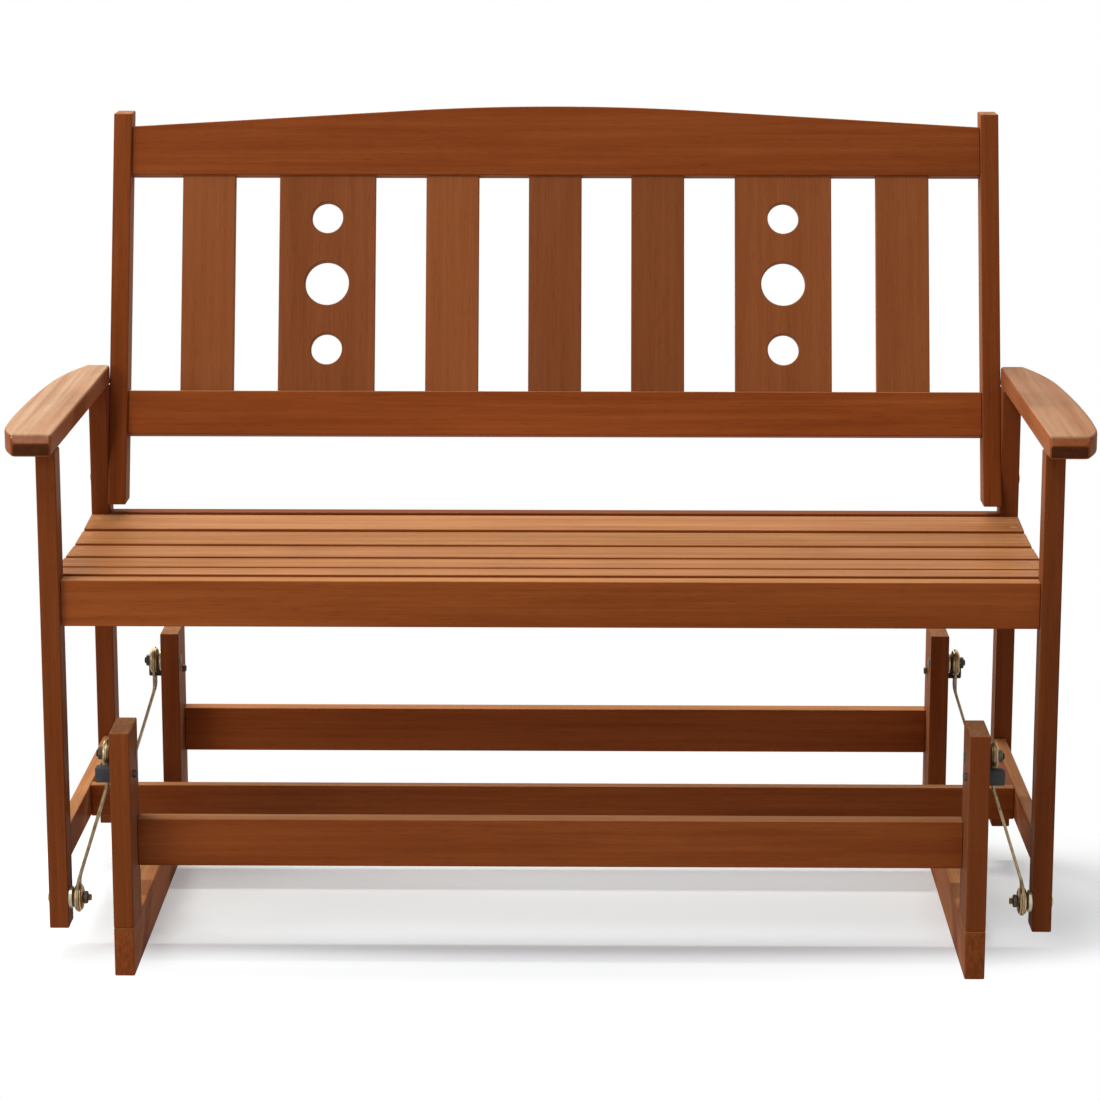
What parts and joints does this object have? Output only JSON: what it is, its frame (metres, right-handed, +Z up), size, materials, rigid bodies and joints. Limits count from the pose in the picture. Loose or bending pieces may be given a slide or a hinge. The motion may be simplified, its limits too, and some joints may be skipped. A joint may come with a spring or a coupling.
{
  "type": "glider bench",
  "caption": "Slatted wooden garden bench whose seat swings to and fro, level, on four swing arms hung from a fixed base with floor runners.",
  "frame": {"origin": "on the floor under the middle of the whole object, seat at rest", "axes": "+Z up, -Y to the front where the sitters' knees are, +X to the right of someone who looks at the front"},
  "size_m": [1.238, 0.6437, 0.9408],
  "materials": {
    "oiled_wood": "oiled hardwood",
    "dowel_wood": "plain dowel",
    "arm_steel": "yellow zinc plated flat steel",
    "bearing_brass": "yellow plated bearing cup",
    "bolt_steel": "dark plated fastener",
    "sleeve_steel": "plated turned sleeve",
    "bumper_rubber": "black rubber"
  },
  "bodies": {
    "base": {"base_rail_bolts": "bolt_steel", "post_dowels": "dowel_wood", "upper_pivot_bolts": "bolt_steel", "upper_pivot_sleeves": "sleeve_steel", "upper_pivot_nuts": "bolt_steel", "rubber_bumpers": "bumper_rubber", "bumper_screws": "bolt_steel", "base_rail_front": "oiled_wood", "base_rail_rear": "oiled_wood", "base_runner_left": "oiled_wood", "base_runner_right": "oiled_wood", "base_post_front_left": "oiled_wood", "base_post_front_right": "oiled_wood", "base_post_rear_left": "oiled_wood", "base_post_rear_right": "oiled_wood"},
    "arm_front_left": {"swing_arm_front_left": "arm_steel", "bearings_front_left": "bearing_brass"},
    "arm_front_right": {"swing_arm_front_right": "arm_steel", "bearings_front_right": "bearing_brass"},
    "arm_rear_left": {"swing_arm_rear_left": "arm_steel", "bearings_rear_left": "bearing_brass"},
    "arm_rear_right": {"swing_arm_rear_right": "arm_steel", "bearings_rear_right": "bearing_brass"},
    "seat": {"frame_bolts": "bolt_steel", "frame_dowels": "dowel_wood", "slat_screws": "bolt_steel", "slat_plugs": "oiled_wood", "lower_pivot_bolts": "bolt_steel", "lower_pivot_sleeves": "sleeve_steel", "lower_pivot_nuts": "bolt_steel", "seat_front_rail": "oiled_wood", "seat_rear_rail": "oiled_wood", "cross_stretcher": "oiled_wood", "back_bottom_rail": "oiled_wood", "back_top_rail": "oiled_wood", "front_leg_left": "oiled_wood", "front_leg_right": "oiled_wood", "rear_leg_left": "oiled_wood", "rear_leg_right": "oiled_wood", "armrest_left": "oiled_wood", "armrest_right": "oiled_wood", "seat_side_rail_left": "oiled_wood", "seat_side_rail_right": "oiled_wood", "lower_side_rail_left": "oiled_wood", "lower_side_rail_right": "oiled_wood", "back_stile_left": "oiled_wood", "back_stile_right": "oiled_wood", "seat_slat_1": "oiled_wood", "seat_slat_2": "oiled_wood", "seat_slat_3": "oiled_wood", "seat_slat_4": "oiled_wood", "seat_slat_5": "oiled_wood", "back_slat_1": "oiled_wood", "back_slat_2": "oiled_wood", "back_slat_3": "oiled_wood", "back_slat_4": "oiled_wood", "back_slat_5": "oiled_wood", "back_slat_6": "oiled_wood", "back_slat_7": "oiled_wood"}
  },
  "joints": [
    {"name": "glide", "type": "hinge", "parent": "base", "child": "arm_front_left", "pos_m": [-0.503, -0.2663, 0.2495], "axis": [1, 0, 0], "range_deg": [-14, 14]},
    {"name": "seat_level", "type": "hinge", "parent": "arm_front_left", "child": "seat", "pos_m": [-0.5452, -0.2663, 0.0765], "axis": [1, 0, 0], "range_deg": [-14, 14]},
    {"name": "front_right_swing", "type": "hinge", "parent": "base", "child": "arm_front_right", "pos_m": [0.503, -0.2663, 0.2495], "axis": [1, 0, 0], "range_deg": [-14, 14]},
    {"name": "rear_left_swing", "type": "hinge", "parent": "base", "child": "arm_rear_left", "pos_m": [-0.503, 0.1737, 0.2495], "axis": [1, 0, 0], "range_deg": [-14, 14]},
    {"name": "rear_right_swing", "type": "hinge", "parent": "base", "child": "arm_rear_right", "pos_m": [0.503, 0.1737, 0.2495], "axis": [1, 0, 0], "range_deg": [-14, 14]}
  ],
  "couplings": [
    {"joint": "seat_level", "follows": "glide", "ratio": -1},
    {"joint": "front_right_swing", "follows": "glide", "ratio": 1},
    {"joint": "rear_left_swing", "follows": "glide", "ratio": 1},
    {"joint": "rear_right_swing", "follows": "glide", "ratio": 1}
  ]
}
